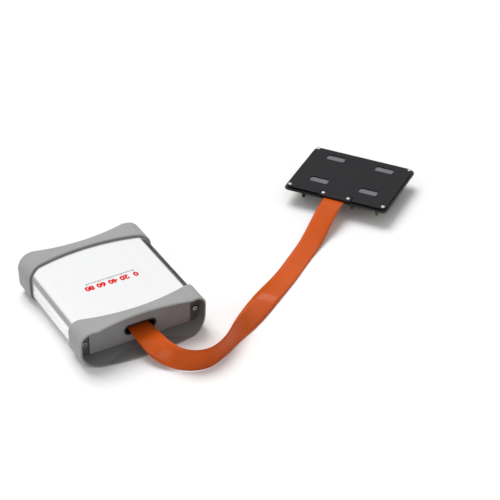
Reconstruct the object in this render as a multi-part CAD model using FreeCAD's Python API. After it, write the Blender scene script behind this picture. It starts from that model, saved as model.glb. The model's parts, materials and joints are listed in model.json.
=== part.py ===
import FreeCAD, Part
import math
import os
from FreeCAD import Vector

# Frame: millimetres, +X to the right, +Y from the probe port into the box, +Z up.
# The origin is on the table, below the middle of the front panel's outer face.

# Box and its rubber bumpers
box_width = 130.0
box_height = 39.0
box_corner = 13.0
body_length = 122.0
port_height = box_height / 2
bumper_wall = 2.5
band_corner = 12.2
band_middle = 5.3
band_side = 17.5
band_bow_inset = 14.0
rim_top_corner = -11.8
rim_top_middle = -5.0
rim_top_side = -9.0
rim_bottom_corner = -15.7
rim_bottom_middle = -20.8
rim_bottom_side = -6.0
rim_bow_inset = 17.0
rim_wall = 1.7
mouth_side_wall = 3.5
mouth_floor_wall = 5.9
mouth_flare_depth = 8.0
mouth_flare_wall = 2.3
mouth_flare_floor = 4.1
lip_wall = 2.5
lip_scoop_reach = 39.0
lip_scoop_back = -5.0
lip_scoop_corner = -16.0
lip_scoop_back_height = 2.9
lip_scoop_front_height = 1.4
bumper_fit = 0.03
band_edge_radius = 0.8
rim_bevel = 0.7

# Aluminium shell, two halves that meet at a seam a little below the middle
shell_width = box_width - 2 * bumper_wall
shell_height = box_height - 2 * bumper_wall
shell_corner = box_corner - bumper_wall
shell_wall = 2.2
seam_height = 17.0
seam_groove = 0.9
tongue_width = 0.8
tongue_height = 1.2
tongue_fit = 0.1
guide_reach = 2.7
guide_thickness = 1.3
screw_inset = 8.0
screw_x = box_width / 2 - screw_inset
channel_radius = 3.2
channel_mouth = 1.0

# End panels
panel_thickness = 3.0
pad_proud = 1.2
pad_screw_gap = 5.0
pad_half_width = screw_x - pad_screw_gap
pad_corner = 1.5
pad_gap = 0.3
panel_fit = 0.15
port_width = 33.0
port_opening = 10.5
bezel_wall = 1.25
bezel_depth = 3.6
bezel_lip = 0.25

# Screws
screw_radius = 1.5
screw_length = 12.0
screw_head_radius = 2.8
screw_head_height = 2.0
screw_hole_fit = 0.2
thread_fit = 0.05
socket_width = 2.0
socket_depth = 1.2

# Circuit board and what stands on it
board_thickness = 1.6
board_top = 15.1
board_front = 10.0
board_rear_gap = 4.5
board_side_gap = 0.5
board_fit = 0.15

# Socket behind the port and the plug in it
socket_front = 14.3
socket_body_width = 30.0
socket_body_depth = 9.7
socket_body_height = 8.8
nose_width = 26.0
nose_height = 3.4
nose_length = 6.0
nose_fit = 0.3
plug_width = 26.0
plug_height = 6.4
plug_length = 7.0
plug_gap = 0.3
plug_corner = 1.2
plug_way_depth = 2.0
plug_way_height = 0.9
grip_pitch = 1.8
grip_count = 3
grip_depth = 0.4
pin_count = 12
pin_pitch = 1.9
pin_width = 0.7
pin_thickness = 0.3
pin_reach = 2.4
contact_thickness = 0.1
contact_inset = 0.5
socket_bevel = 0.5

# Ribbon lead
ribbon_width = 22.0
ribbon_thickness = 0.3
ribbon_height = port_height - 1.1
ribbon_bend_points = (
    (0.4, -14.0, 18.0), (2.5, -36.0, 14.8), (14.5, -56.5, 11.9), (36.5, -66.0, 11.4),
)
ribbon_bend_leans = (4, 44, 80, 89)
ribbon_turn_end = (60.0, -56.0, 11.4)
ribbon_turn_lean = 89
ribbon_run_points = (
    (26.0, 0.4, 11.1), (56.0, -0.6, 8.6), (96.0, 0.6, 3.9), (134.0, -0.5, 1.0),
    (168.0, 0.3, 0.4), (198.0, -0.2, 2.6), (221.0, 0.1, 9.8), (236.0, -0.1, 15.0),
)
ribbon_run_leans = (72, 45, 16, 1, 0, 0, 0, 0)
ribbon_level_run = 250.0
ribbon_end_run = 267.0
arc_share = 0.45
arc_steps = 3

# Probe fixture, 96-well format
well_pitch = 9.0
inner_probe = 1.5
probe_margin = 2.0
carrier_width = 112.0
carrier_depth = 85.0
carrier_corner = 5.0
carrier_thickness = 1.6
cone_height = 14.2
cone_top_radius = 2.7
cone_tip_radius = 1.3
cone_point_radius = 0.9
cone_point_height = 0.6
cone_collar_radius = 3.4
cone_collar_height = 1.2
cone_stem_radius = 1.5
stem_fit = 0.05
flex_margin = 5.0
flex_arm_width = 9.0
pad_thickness = 1.0
cover_thickness = 1.2
cover_margin = 2.0
pad_margin = 4.0
window_width = 20.0
window_depth = 9.0
window_corner = 2.0
fixture_heading = 36.0
fixture_front_run = 256.5
fixture_screw_radius = 1.0
fixture_head_radius = 1.9
fixture_head_height = 1.3
fixture_screw_inset = 5.0
fixture_screw_past_nut = 0.4
fixture_screw_room = 1.0
slot_width = 0.6
slot_depth = 0.5
nut_width = 4.0
nut_height = 1.6
clamp_width = 34.0
clamp_depth = 8.0
clamp_height = 2.6
clamp_screw_x = 13.6
clamp_gap = 0.05
clamp_corner = 1.2

# Rear controls, in the rear panel's own view from outside
usb_x = 18.0
usb_width = 8.94
usb_height = 3.2
usb_length = 7.4
usb_wall = 0.3
usb_recess = 0.4
usb_cutout_fit = 0.25
usb_tongue_share = 0.75
usb_tongue_thickness = 0.7
usb_tongue_back = 0.8
button_x = -20.0
button_radius = 3.4
button_fit = 0.1
button_proud = 1.2
button_flange_radius = 4.2
button_edge_radius = 0.6
button_flange = 1.0
button_stem_radius = 1.5
button_travel = 0.8
switch_front = 8.0
switch_plunger_radius = 1.6
switch_plunger_length = 1.0
switch_plunger_hold = 1.0
switch_body_width = 7.0
switch_body_depth = 4.5
switch_body_rise = 7.6
switch_bore_room = 0.2
light_x = 0.0
light_radius = 1.45
light_fit = 0.05
light_length = 7.0
led_width = 3.6
led_depth = 2.2
led_rise = 6.2

# Battery, shield and chips: centre x, centre y, width, depth, height
battery_rear_gap = 37.5
battery_place = (0.0, body_length - battery_rear_gap, 58.0, 38.0, 8.0)
battery_foam = 1.0
battery_foam_inset = 4.0
battery_corner = 3.0
tab_width = 4.0
tab_thickness = 0.3
tab_foot = 4.0
tab_x = 20.0
shield_place = (26.5, 37.5, 30.0, 23.0, 3.0)
shield_wall = 0.4
chip_places = (
    (-26.0, 42.0, 14.0, 14.0, 1.2),
    (-4.0, 40.0, 9.0, 9.0, 1.0),
    (-45.0, 60.0, 6.0, 5.0, 1.5),
    (45.0, 66.0, 7.0, 7.0, 1.0),
    (-45.0, 30.0, 10.0, 6.0, 1.6),
)
chip_bevel = 0.2

# Reach of cutting shapes past what they cut
overcut = 4.0
hair = 0.001


def heading_vector(angle):
    return Vector(math.cos(math.radians(angle)), math.sin(math.radians(angle)), 0)


def ribbon_route():
    """The ribbon's middle line, and how far it leans on its edge (degrees) at each point."""
    along = heading_vector(fixture_heading)
    across = Vector(-along.y, along.x, 0)
    turn_end = Vector(*ribbon_turn_end)
    points = [(Vector(0, plug_face() + plug_way_depth, ribbon_height), 0)]
    for place, lean in zip(ribbon_bend_points, ribbon_bend_leans):
        points.append((Vector(*place), lean))
    points.append((turn_end, ribbon_turn_lean))
    for (run, side, height), lean in zip(ribbon_run_points, ribbon_run_leans):
        spot = turn_end + along * run + across * side
        points.append((Vector(spot.x, spot.y, height), lean))
    for run in (ribbon_level_run, ribbon_end_run):
        spot = turn_end + along * run
        points.append((Vector(spot.x, spot.y, carrier_top() + ribbon_thickness / 2), 0))
    return points


def carrier_top():
    return cone_height + cone_collar_height + carrier_thickness


def outline(width, height, radius, y, middle=port_height, x=0.0):
    """Closed rounded rectangle in a plane across Y."""
    right, left = x + width / 2, x - width / 2
    top, bottom = middle + height / 2, middle - height / 2
    slant = radius * (1 - math.sqrt(0.5))
    corners = (
        ((right, bottom + radius), (right, top - radius), (right - slant, top - slant)),
        ((right - radius, top), (left + radius, top), (left + slant, top - slant)),
        ((left, top - radius), (left, bottom + radius), (left + slant, bottom + slant)),
        ((left + radius, bottom), (right - radius, bottom), (right - slant, bottom + slant)),
    )
    edges = []
    for index, (start, end, bend) in enumerate(corners):
        following = corners[(index + 1) % 4][0]
        start, end, bend, following = (Vector(px, y, pz) for px, pz in (start, end, bend, following))
        if (end - start).Length > 1e-6:
            edges.append(Part.LineSegment(start, end).toShape())
        edges.append(Part.Arc(end, bend, following).toShape())
    return Part.Wire(edges)


def prism(wire, length):
    return Part.Face(wire).extrude(Vector(0, length, 0))


def block(x, y, z, low_x, low_y, low_z):
    return Part.makeBox(x, y, z, Vector(low_x, low_y, low_z))


def rod(radius, length, x, y, z):
    """Cylinder along +Y."""
    return Part.makeCylinder(radius, length, Vector(x, y, z), Vector(0, 1, 0))


def turned(shape):
    """The same shape at the other end of the box."""
    copy = shape.copy()
    copy.rotate(Vector(0, body_length / 2, 0), Vector(0, 0, 1), 180)
    return copy


def bowed_region(side_y, corner_y, middle_y, inset, far_y, z):
    """Seen from above: a bowed edge that sweeps away at both sides, closed by a line at far_y."""
    reach = box_width / 2 + overcut
    half = box_width / 2 - inset
    reach_y = corner_y + (side_y - corner_y) * (reach - half) / inset
    spots = [Vector(x, y, z) for x, y in (
        (-reach, reach_y), (-half, corner_y), (half, corner_y), (reach, reach_y),
        (reach, far_y), (-reach, far_y))]
    middle = Vector(0, middle_y, z)
    return Part.Wire([
        Part.LineSegment(spots[0], spots[1]).toShape(),
        Part.Arc(spots[1], middle, spots[2]).toShape(),
        Part.LineSegment(spots[2], spots[3]).toShape(),
        Part.LineSegment(spots[3], spots[4]).toShape(),
        Part.LineSegment(spots[4], spots[5]).toShape(),
        Part.LineSegment(spots[5], spots[0]).toShape(),
    ])


def bumper():
    """Rubber sleeve with a raked mouth: its top lip is scooped back, its bottom lip stands forward."""
    front = rim_bottom_middle - overcut
    sleeve = prism(outline(box_width, box_height, box_corner, front), band_side + overcut - front)

    def rim_at(z):
        share = z / box_height
        side = rim_bottom_side + (rim_top_side - rim_bottom_side) * share
        corner = rim_bottom_corner + (rim_top_corner - rim_bottom_corner) * share
        middle = rim_bottom_middle + (rim_top_middle - rim_bottom_middle) * share
        return bowed_region(side, corner, middle, rim_bow_inset, front - overcut, z)

    rim_cut = Part.makeLoft([rim_at(-overcut), rim_at(box_height + overcut)], True, True)
    sleeve = sleeve.cut(rim_cut)
    sleeve = sleeve.makeChamfer(rim_bevel, skin_edges(sleeve, front, rim_top_middle + 0.1))
    band_edge = bowed_region(band_side, band_corner, band_middle, band_bow_inset,
                             band_side + 2 * overcut, -overcut)
    sleeve = sleeve.cut(Part.Face(band_edge).extrude(Vector(0, 0, box_height + 2 * overcut)))
    sleeve = sleeve.makeFillet(band_edge_radius, skin_edges(sleeve, 0, band_side + overcut))
    pocket = prism(outline(shell_width + 2 * bumper_fit, shell_height + 2 * bumper_fit,
                           shell_corner + bumper_fit, pad_proud), band_side)
    mouth = Part.makeLoft([
        mouth_section(mouth_side_wall, mouth_floor_wall, mouth_floor_wall, pad_proud + 1),
        mouth_section(mouth_flare_wall, mouth_flare_wall, mouth_flare_floor, -mouth_flare_depth),
        mouth_section(rim_wall, rim_wall, lip_wall, rim_bottom_corner),
        mouth_section(rim_wall, rim_wall, lip_wall, front - 1),
    ], True, True)
    return sleeve.cut(pocket).cut(mouth).cut(lip_scoop())


def lip_scoop():
    """Shallow round step that thins the middle of the bottom lip."""
    depth = lip_scoop_back - lip_scoop_corner
    radius = (lip_scoop_reach ** 2 + depth ** 2) / (2 * depth)
    round_step = Part.makeCylinder(radius, port_height, Vector(0, lip_scoop_back - radius, 0))
    run = lip_scoop_back - rim_bottom_middle
    slope = math.degrees(math.atan2(lip_scoop_back_height - lip_scoop_front_height, run))
    keep = block(2 * radius, 2 * radius, port_height, -radius, -2 * radius, 0)
    keep.rotate(Vector(0, 0, 0), Vector(1, 0, 0), slope)
    keep.translate(Vector(0, lip_scoop_back, lip_scoop_back_height))
    return round_step.common(keep)


def skin_edges(shape, low_y, high_y):
    """Edges that run round the sleeve's outer skin between two places along Y."""
    found = []
    for edge in shape.Edges:
        box = edge.BoundBox
        if box.YMin < low_y or box.YMax > high_y:
            continue
        first, last = edge.ParameterRange
        spots = [edge.valueAt(first + (last - first) * share) for share in (0, 0.3, 0.7, 1)]
        if all(abs(depth_in_skin(spot)) < 0.01 for spot in spots):
            found.append(edge)
    return found


def depth_in_skin(spot):
    """How far a point lies outside the bumper's outer outline; negative is inside."""
    past_x = abs(spot.x) - (box_width / 2 - box_corner)
    past_z = abs(spot.z - port_height) - (box_height / 2 - box_corner)
    if past_x > 0 and past_z > 0:
        return math.hypot(past_x, past_z) - box_corner
    return max(past_x, past_z) - box_corner


def mouth_section(side_wall, top_wall, floor_wall, y):
    radius = box_corner - (2 * side_wall + top_wall + floor_wall) / 4
    return outline(box_width - 2 * side_wall, box_height - top_wall - floor_wall, radius, y,
                   (box_height + floor_wall - top_wall) / 2)


def shell_half(upper):
    """One half of the extruded shell, with its seam groove, tongue or channels."""
    inner_corner = shell_corner - shell_wall
    tube = prism(outline(shell_width, shell_height, shell_corner, panel_thickness), shell_length())
    bore = prism(outline(shell_width - 2 * shell_wall, shell_height - 2 * shell_wall, inner_corner,
                         panel_thickness), shell_length())
    bottom = seam_height if upper else bumper_wall
    top = box_height - bumper_wall if upper else seam_height
    half = block(shell_width, shell_length(), top - bottom, -shell_width / 2, panel_thickness, bottom)
    shell = tube.cut(bore).common(half)
    for x_side in (-1, 1):
        groove = block(2 * seam_groove, shell_length(), 2 * seam_groove,
                       -seam_groove, panel_thickness, -seam_groove)
        groove.rotate(Vector(0, 0, 0), Vector(0, 1, 0), 45)
        groove.translate(Vector(x_side * shell_width / 2, 0, seam_height))
        shell = shell.cut(groove)
        wall_middle = x_side * (shell_width / 2 - shell_wall / 2 - seam_groove / 3)
        extra = tongue_fit if upper else 0.0
        tongue = block(tongue_width + 2 * extra, shell_length(), tongue_height + extra,
                       wall_middle - tongue_width / 2 - extra, panel_thickness, seam_height)
        shell = shell.cut(tongue) if upper else shell.fuse(tongue)
    if not upper:
        shell = with_channels(shell)
    return shell.removeSplitter()


def shell_length():
    return body_length - 2 * panel_thickness


def with_channels(shell):
    """Board guides and the two screw channels, inside the lower half."""
    inside = shell_width / 2 - shell_wall
    bottom = board_top - board_thickness
    for side in (-1, 1):
        low = inside - guide_reach if side > 0 else -inside
        lower_guide = block(guide_reach, shell_length(), guide_thickness, low, panel_thickness,
                            bottom - board_fit - guide_thickness)
        webs = []
        for reach, foot, top in ((inside, board_top + board_fit, seam_height - tongue_fit),
                                 (inside - board_fit, seam_height - 2 * tongue_fit, port_height)):
            web_low = screw_x if side > 0 else -reach
            webs.append(block(reach - screw_x, shell_length(), top - foot, web_low, panel_thickness, foot))
        channel = rod(channel_radius, shell_length(), side * screw_x, panel_thickness, port_height)
        bore = rod(screw_radius + thread_fit, shell_length(), side * screw_x, panel_thickness,
                   port_height)
        slot_low = screw_x - channel_radius - 1 if side > 0 else -screw_x
        slot = block(channel_radius + 1, shell_length(), channel_mouth, slot_low, panel_thickness,
                     port_height - channel_mouth / 2)
        shell = shell.fuse([lower_guide, channel] + webs).cut(bore).cut(slot)
    return shell


def end_panel():
    """Blank end panel: a plate behind the bumper's lip with a raised pad in the middle."""
    plate = prism(outline(shell_width - 2 * panel_fit, shell_height - 2 * panel_fit,
                          shell_corner - panel_fit, pad_proud), panel_thickness - pad_proud)
    pad_height = box_height - 2 * (mouth_floor_wall + pad_gap)
    pad = prism(outline(2 * pad_half_width, pad_height, pad_corner, 0), pad_proud)
    panel = plate.fuse(pad)
    for side in (-1, 1):
        panel = panel.cut(rod(screw_radius + screw_hole_fit, panel_thickness, side * screw_x, 0,
                              port_height))
    return panel.removeSplitter()


def front_panel():
    slot = prism(outline(port_width, port_opening, port_opening / 2 - hair, -overcut),
                 panel_thickness + 2 * overcut)
    return end_panel().cut(slot)


def port_bezel():
    """Black lining of the slot, with a thin lip on the panel's face."""
    lip = outline(port_width + 2 * bezel_lip, port_opening + 2 * bezel_lip,
                  port_opening / 2 + bezel_lip - hair, -bezel_lip)
    body = outline(port_width, port_opening, port_opening / 2 - hair, -bezel_lip)
    way = outline(port_width - 2 * bezel_wall, port_opening - 2 * bezel_wall,
                  port_opening / 2 - bezel_wall - hair, -overcut)
    ring = prism(body, bezel_depth + bezel_lip).fuse(prism(lip, bezel_lip))
    return ring.cut(prism(way, bezel_depth + 2 * overcut)).removeSplitter()


def rear_panel():
    panel = end_panel()
    usb_way = outline(usb_width + 2 * usb_cutout_fit, usb_height + 2 * usb_cutout_fit,
                      usb_height / 2 + usb_cutout_fit - hair, -overcut, usb_middle(), usb_x)
    panel = panel.cut(prism(usb_way, panel_thickness + 2 * overcut))
    panel = panel.cut(rod(button_radius + button_fit, panel_thickness, button_x, 0, port_height))
    return panel.cut(rod(light_radius + light_fit, panel_thickness, light_x, 0, port_height))


def usb_middle():
    return board_top + usb_height / 2


def screw(x):
    """Pan-head machine screw with a hexagon socket, driven along +Y."""
    head = rod(screw_head_radius, screw_head_height, x, pad_proud - screw_head_height, port_height)
    front_edge = [edge for edge in head.Edges
                  if edge.BoundBox.YMax < pad_proud - screw_head_height + 0.01]
    head = head.makeFillet(screw_head_height / 3, front_edge)
    shank = rod(screw_radius, screw_length, x, pad_proud, port_height)
    socket = hexagon(socket_width, socket_depth, x, pad_proud - screw_head_height)
    return head.fuse(shank).cut(socket)


def hexagon(across, depth, x, y):
    corner = across / math.sqrt(3)
    spots = []
    for index in range(7):
        angle = math.radians(60 * index)
        spots.append(Vector(x + corner * math.cos(angle), y, port_height + corner * math.sin(angle)))
    return prism(Part.makePolygon(spots), depth)


def end_screws():
    return Part.makeCompound([screw(-screw_x), screw(screw_x)])


def main_board():
    half = shell_width / 2 - shell_wall - board_side_gap
    length = body_length - board_rear_gap - board_front
    return block(2 * half, length, board_thickness, -half, board_front, board_top - board_thickness)


def ribbon_socket():
    """Board socket whose mouth faces the port."""
    body = block(socket_body_width, socket_body_depth, socket_body_height, -socket_body_width / 2,
                 socket_front, board_top)
    way = block(nose_width + 2 * nose_fit, nose_length + 2 * nose_fit, nose_height + 2 * nose_fit,
                -nose_width / 2 - nose_fit, socket_front, port_height - nose_height / 2 - nose_fit)
    mouth_edges = [edge for edge in body.Edges if edge.BoundBox.YMax < socket_front + 0.01]
    return body.makeChamfer(socket_bevel, mouth_edges).cut(way)


def socket_pins():
    """Row of tails that join the socket to the board."""
    pins = []
    for index in range(pin_count):
        x = (index - (pin_count - 1) / 2) * pin_pitch
        pins.append(block(pin_width, pin_reach, pin_thickness, x - pin_width / 2,
                          socket_front + socket_body_depth, board_top))
    return Part.makeCompound(pins)


def plug_face():
    return socket_front - plug_gap - plug_length


def lead_plug():
    """Plug housing behind the port: finger grooves, a nose and a slot that holds the ribbon."""
    housing = prism(outline(plug_width, plug_height, plug_corner, plug_face()), plug_length)
    for index in range(grip_count):
        y = plug_face() + plug_length / 2 + (index - (grip_count - 1) / 2) * grip_pitch
        for z in (port_height + plug_height / 2 - grip_depth, port_height - plug_height / 2):
            housing = housing.cut(block(plug_width, grip_pitch / 2, grip_depth, -plug_width / 2,
                                        y - grip_pitch / 4, z))
    nose = block(nose_width - 2 * nose_fit, nose_length + plug_gap, nose_height,
                 -nose_width / 2 + nose_fit, plug_face() + plug_length,
                 port_height - nose_height / 2)
    ribbon_way = block(ribbon_width + 2 * plug_gap, plug_way_depth + overcut, plug_way_height,
                       -ribbon_width / 2 - plug_gap, plug_face() - overcut,
                       ribbon_height - plug_way_height / 2)
    return housing.fuse(nose).cut(ribbon_way)


def plug_contacts():
    """Contact strips on the nose's upper face."""
    strips = []
    for index in range(pin_count):
        x = (index - (pin_count - 1) / 2) * pin_pitch
        strips.append(block(pin_width, nose_length - 2 * contact_inset, contact_thickness,
                            x - pin_width / 2, plug_face() + plug_length + plug_gap + contact_inset,
                            port_height + nose_height / 2))
    return Part.makeCompound(strips)


def station_list(points):
    """Middle line of runs and tangent arcs: (place, direction, lean) at each cross-section."""
    stations = []
    radii = []
    last = len(points) - 1
    stations.append((points[0][0], (points[1][0] - points[0][0]).normalize(), points[0][1]))
    for index in range(1, last):
        before, here, after = points[index - 1][0], points[index][0], points[index + 1][0]
        lean_before, lean, lean_after = (points[index + step][1] for step in (-1, 0, 1))
        into = (here - before).normalize()
        out = (after - here).normalize()
        turn = into.getAngle(out)
        runs = ((here - before).Length, (after - here).Length)
        radius = arc_share * min(runs) / math.tan(turn / 2)
        radii.append(radius)
        setback = arc_share * min(runs)
        normal = (out - into).normalize()
        centre = here + normal * (radius / math.cos(turn / 2))
        start = here - into * setback
        lean_in = lean + (lean_before - lean) * setback / runs[0]
        lean_out = lean + (lean_after - lean) * setback / runs[1]
        spoke = start - centre
        axis = into.cross(out).normalize()
        for step in range(arc_steps + 1):
            share = step / arc_steps
            rotation = FreeCAD.Rotation(axis, math.degrees(turn) * share)
            stations.append((centre + rotation.multVec(spoke), rotation.multVec(into),
                             lean_in + (lean_out - lean_in) * share))
    stations.append((points[last][0], (points[last][0] - points[last - 1][0]).normalize(),
                     points[last][1]))
    return stations, radii


def ribbon_section(place, direction, lean):
    level = Vector(0, 0, 1).cross(direction).normalize()
    rise = direction.cross(level).normalize()
    angle = math.radians(lean)
    side = level * math.cos(angle) + rise * math.sin(angle)
    face = direction.cross(side).normalize()
    across, through = side * (ribbon_width / 2), face * (ribbon_thickness / 2)
    spots = [place + across + through, place - across + through,
             place - across - through, place + across - through]
    return Part.makePolygon(spots + spots[:1])


def ribbon_lead():
    """Flat flexible lead: laid on the table, on edge round its bend and flat along its run."""
    stations, radii = station_list(ribbon_route())
    solid = Part.makeLoft([ribbon_section(*station) for station in stations], True, True)
    length = sum((b[0] - a[0]).Length for a, b in zip(stations, stations[1:]))
    volume = ribbon_width * ribbon_thickness * length
    print("ribbon length %.1f, volume %.1f of %.1f, lowest %.2f, radii %s" % (
        length, solid.Volume, volume, solid.BoundBox.ZMin, [round(radius) for radius in radii]))
    return solid


def fixture_frame(shape):
    """Places a fixture piece: its own +Y is the ribbon's last direction, +X across it."""
    copy = shape.copy()
    front = Vector(*ribbon_turn_end) + heading_vector(fixture_heading) * fixture_front_run
    copy.rotate(Vector(0, 0, 0), Vector(0, 0, 1), fixture_heading - 90)
    copy.translate(Vector(front.x, front.y, 0))
    return copy


def plate(width, depth, corner, thickness, low_y, z):
    """Flat rounded rectangle, lying down, whose near edge is at low_y."""
    face = Part.Face(outline(width, depth, corner, 0, 0))
    face.rotate(Vector(0, 0, 0), Vector(1, 0, 0), -90)
    face.translate(Vector(0, low_y + depth / 2, z))
    return face.extrude(Vector(0, 0, thickness))


def outer_probe(room):
    """Number of pitches from the middle to the outermost well centre that fits in this half size."""
    return math.floor((room - cone_collar_radius - probe_margin) / well_pitch - 0.5) + 0.5


def probe_columns():
    outer = outer_probe(carrier_width / 2 - 2 * fixture_screw_inset + probe_margin / 2)
    return (-outer, -inner_probe, inner_probe, outer)


def probe_rows():
    outer = outer_probe(carrier_depth - probe_middle())
    return (-outer, -inner_probe, inner_probe, outer)


def probe_middle():
    """Distance from the carrier's front edge to the middle of the probe field."""
    return (carrier_depth + ribbon_end_run - fixture_front_run) / 2


def probe_spots():
    return [(column * well_pitch, probe_middle() + row * well_pitch)
            for row in probe_rows() for column in probe_columns()]


def upright(radius, height, x, y, z):
    return Part.makeCylinder(radius, height, Vector(x, y, z))


def cover_screw_spots():
    half = carrier_width / 2 - fixture_screw_inset
    near, far = fixture_screw_inset, carrier_depth - fixture_screw_inset
    return [(-half, near), (half, near), (-half, far), (half, far)]


def clamp_screw_spots():
    return [(-clamp_screw_x, clamp_depth / 2), (clamp_screw_x, clamp_depth / 2)]


def drilled(shape, spots, radius):
    box = shape.BoundBox
    for x, y in spots:
        shape = shape.cut(upright(radius, box.ZLength + 2 * overcut, x, y, box.ZMin - overcut))
    return shape


def probe_carrier():
    body = plate(carrier_width, carrier_depth, carrier_corner, carrier_thickness, 0,
                 carrier_top() - carrier_thickness)
    body = drilled(body, probe_spots(), cone_stem_radius + stem_fit)
    return drilled(body, cover_screw_spots() + clamp_screw_spots(), fixture_screw_radius + stem_fit)


def probe_cones():
    """Metal cones shaped like the wells they measure, with a collar under the carrier."""
    profile = Part.makePolygon([
        Vector(0, 0, 0), Vector(cone_point_radius, 0, 0), Vector(cone_tip_radius, 0, cone_point_height),
        Vector(cone_top_radius, 0, cone_height), Vector(cone_collar_radius, 0, cone_height),
        Vector(cone_collar_radius, 0, cone_height + cone_collar_height),
        Vector(cone_stem_radius, 0, cone_height + cone_collar_height),
        Vector(cone_stem_radius, 0, carrier_top()), Vector(0, 0, carrier_top()), Vector(0, 0, 0)])
    cone = Part.Face(profile).revolve(Vector(0, 0, 0), Vector(0, 0, 1), 360)
    cones = []
    for x, y in probe_spots():
        copy = cone.copy()
        copy.translate(Vector(x, y, 0))
        cones.append(copy)
    return Part.makeCompound(cones)


def sensor_flex():
    """Flat circuit on the carrier: a spine from the ribbon, with an arm to each row of probes."""
    start = ribbon_end_run - fixture_front_run
    spine_depth = carrier_depth - flex_margin - start
    z = carrier_top()
    flex = block(ribbon_width, spine_depth, ribbon_thickness, -ribbon_width / 2, start, z)
    arm_half = carrier_width / 2 - flex_margin / 2
    for row in probe_rows():
        y = probe_middle() + row * well_pitch
        low = max(y - flex_arm_width / 2, start)
        high = min(y + flex_arm_width / 2, carrier_depth - flex_margin)
        flex = flex.fuse(block(2 * arm_half, high - low, ribbon_thickness, -arm_half, low, z))
    return drilled(flex.removeSplitter(), cover_screw_spots(),
                   fixture_screw_radius + fixture_screw_room)


def pressure_pad():
    z = carrier_top() + ribbon_thickness
    near = clamp_depth + 2 * pad_gap + pad_margin
    pad = plate(carrier_width - 2 * pad_margin, carrier_depth - near - pad_margin, carrier_corner,
                pad_thickness, near, z)
    return drilled(pad, cover_screw_spots(), fixture_screw_radius + fixture_screw_room)


def cover_bottom():
    return carrier_top() + ribbon_thickness + pad_thickness


def fixture_cover():
    """Black pressure plate over the pad, notched round the clamp."""
    cover = plate(carrier_width - 2 * cover_margin, carrier_depth - 2 * cover_margin,
                  carrier_corner - cover_margin / 2, cover_thickness, cover_margin, cover_bottom())
    notch_width = clamp_width + 4 * pad_gap
    cover = cover.cut(block(notch_width, clamp_depth + 2 * pad_gap + overcut, 2 * overcut,
                            -notch_width / 2, -overcut, cover_bottom() - overcut))
    window_x = (probe_columns()[-1] + inner_probe) / 2 * well_pitch
    window_y = (probe_rows()[-1] + inner_probe) / 2 * well_pitch
    for side in (-1, 1):
        for end in (-1, 1):
            window = plate(window_width, window_depth, window_corner, 2 * overcut,
                           probe_middle() + end * window_y - window_depth / 2,
                           cover_bottom() - overcut)
            window.translate(Vector(side * window_x, 0, 0))
            cover = cover.cut(window)
    return drilled(cover, cover_screw_spots(), fixture_screw_radius + stem_fit)


def ribbon_clamp():
    """Bar that holds the ribbon down on the carrier's front edge."""
    z = carrier_top()
    bar = plate(clamp_width, clamp_depth, clamp_corner, clamp_height, 0, z)
    way = block(ribbon_width + 2 * pad_gap, clamp_depth + 2 * overcut, ribbon_thickness + clamp_gap,
                -ribbon_width / 2 - pad_gap, -overcut, z)
    return drilled(bar.cut(way), clamp_screw_spots(), fixture_screw_radius + stem_fit)


def small_screw(x, y, seat):
    bottom = carrier_top() - carrier_thickness - nut_height - fixture_screw_past_nut
    shank = upright(fixture_screw_radius, seat - bottom, x, y, bottom)
    head = upright(fixture_head_radius, fixture_head_height, x, y, seat)
    rim = [edge for edge in head.Edges if edge.BoundBox.ZMin > seat + fixture_head_height - 0.01]
    head = head.makeFillet(fixture_head_height / 2, rim)
    slot = block(2 * fixture_head_radius, slot_width, slot_depth, x - fixture_head_radius,
                 y - slot_width / 2, seat + fixture_head_height - slot_depth)
    return shank.fuse(head).cut(slot)


def fixture_screws():
    screws = [small_screw(x, y, cover_bottom() + cover_thickness) for x, y in cover_screw_spots()]
    screws += [small_screw(x, y, carrier_top() + clamp_height) for x, y in clamp_screw_spots()]
    return Part.makeCompound(screws)


def fixture_nuts():
    nuts = []
    corner = nut_width / math.sqrt(3)
    z = carrier_top() - carrier_thickness - nut_height
    for x, y in cover_screw_spots() + clamp_screw_spots():
        spots = [Vector(x + corner * math.cos(math.radians(60 * i)),
                        y + corner * math.sin(math.radians(60 * i)), z) for i in range(7)]
        nut = Part.Face(Part.makePolygon(spots)).extrude(Vector(0, 0, nut_height))
        nuts.append(nut.cut(upright(fixture_screw_radius + stem_fit, nut_height, x, y, z)))
    return Part.makeCompound(nuts)


def usb_socket():
    """Metal shell of the data and charging socket, with its tongue."""
    z = usb_middle()
    outer = prism(outline(usb_width, usb_height, usb_height / 2 - hair, usb_recess, z, usb_x),
                  usb_length)
    inner = prism(outline(usb_width - 2 * usb_wall, usb_height - 2 * usb_wall,
                          usb_height / 2 - usb_wall - hair, usb_recess - usb_wall, z, usb_x), usb_length)
    tongue_width = usb_width * usb_tongue_share
    tongue = block(tongue_width, usb_length - usb_tongue_back, usb_tongue_thickness,
                   usb_x - tongue_width / 2, usb_recess + usb_tongue_back, z - usb_tongue_thickness / 2)
    return outer.cut(inner).fuse(tongue)


def power_button():
    """Round push button with a flange behind the panel and a stem to the switch."""
    cap = rod(button_radius, button_proud + panel_thickness, button_x, -button_proud, port_height)
    rim = [edge for edge in cap.Edges if edge.BoundBox.YMax < -button_proud + 0.01]
    cap = cap.makeFillet(button_edge_radius, rim)
    flange_front = panel_thickness + button_fit
    flange = rod(button_flange_radius, button_flange, button_x, flange_front, port_height)
    neck = rod(button_radius, button_fit, button_x, panel_thickness, port_height)
    stem_start = flange_front + button_flange
    stem = rod(button_stem_radius, switch_front - stem_start, button_x, stem_start, port_height)
    return cap.fuse([neck, flange, stem]).removeSplitter()


def switch_plunger():
    return rod(switch_plunger_radius, switch_plunger_length + switch_plunger_hold, button_x,
               switch_front, port_height)


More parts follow.
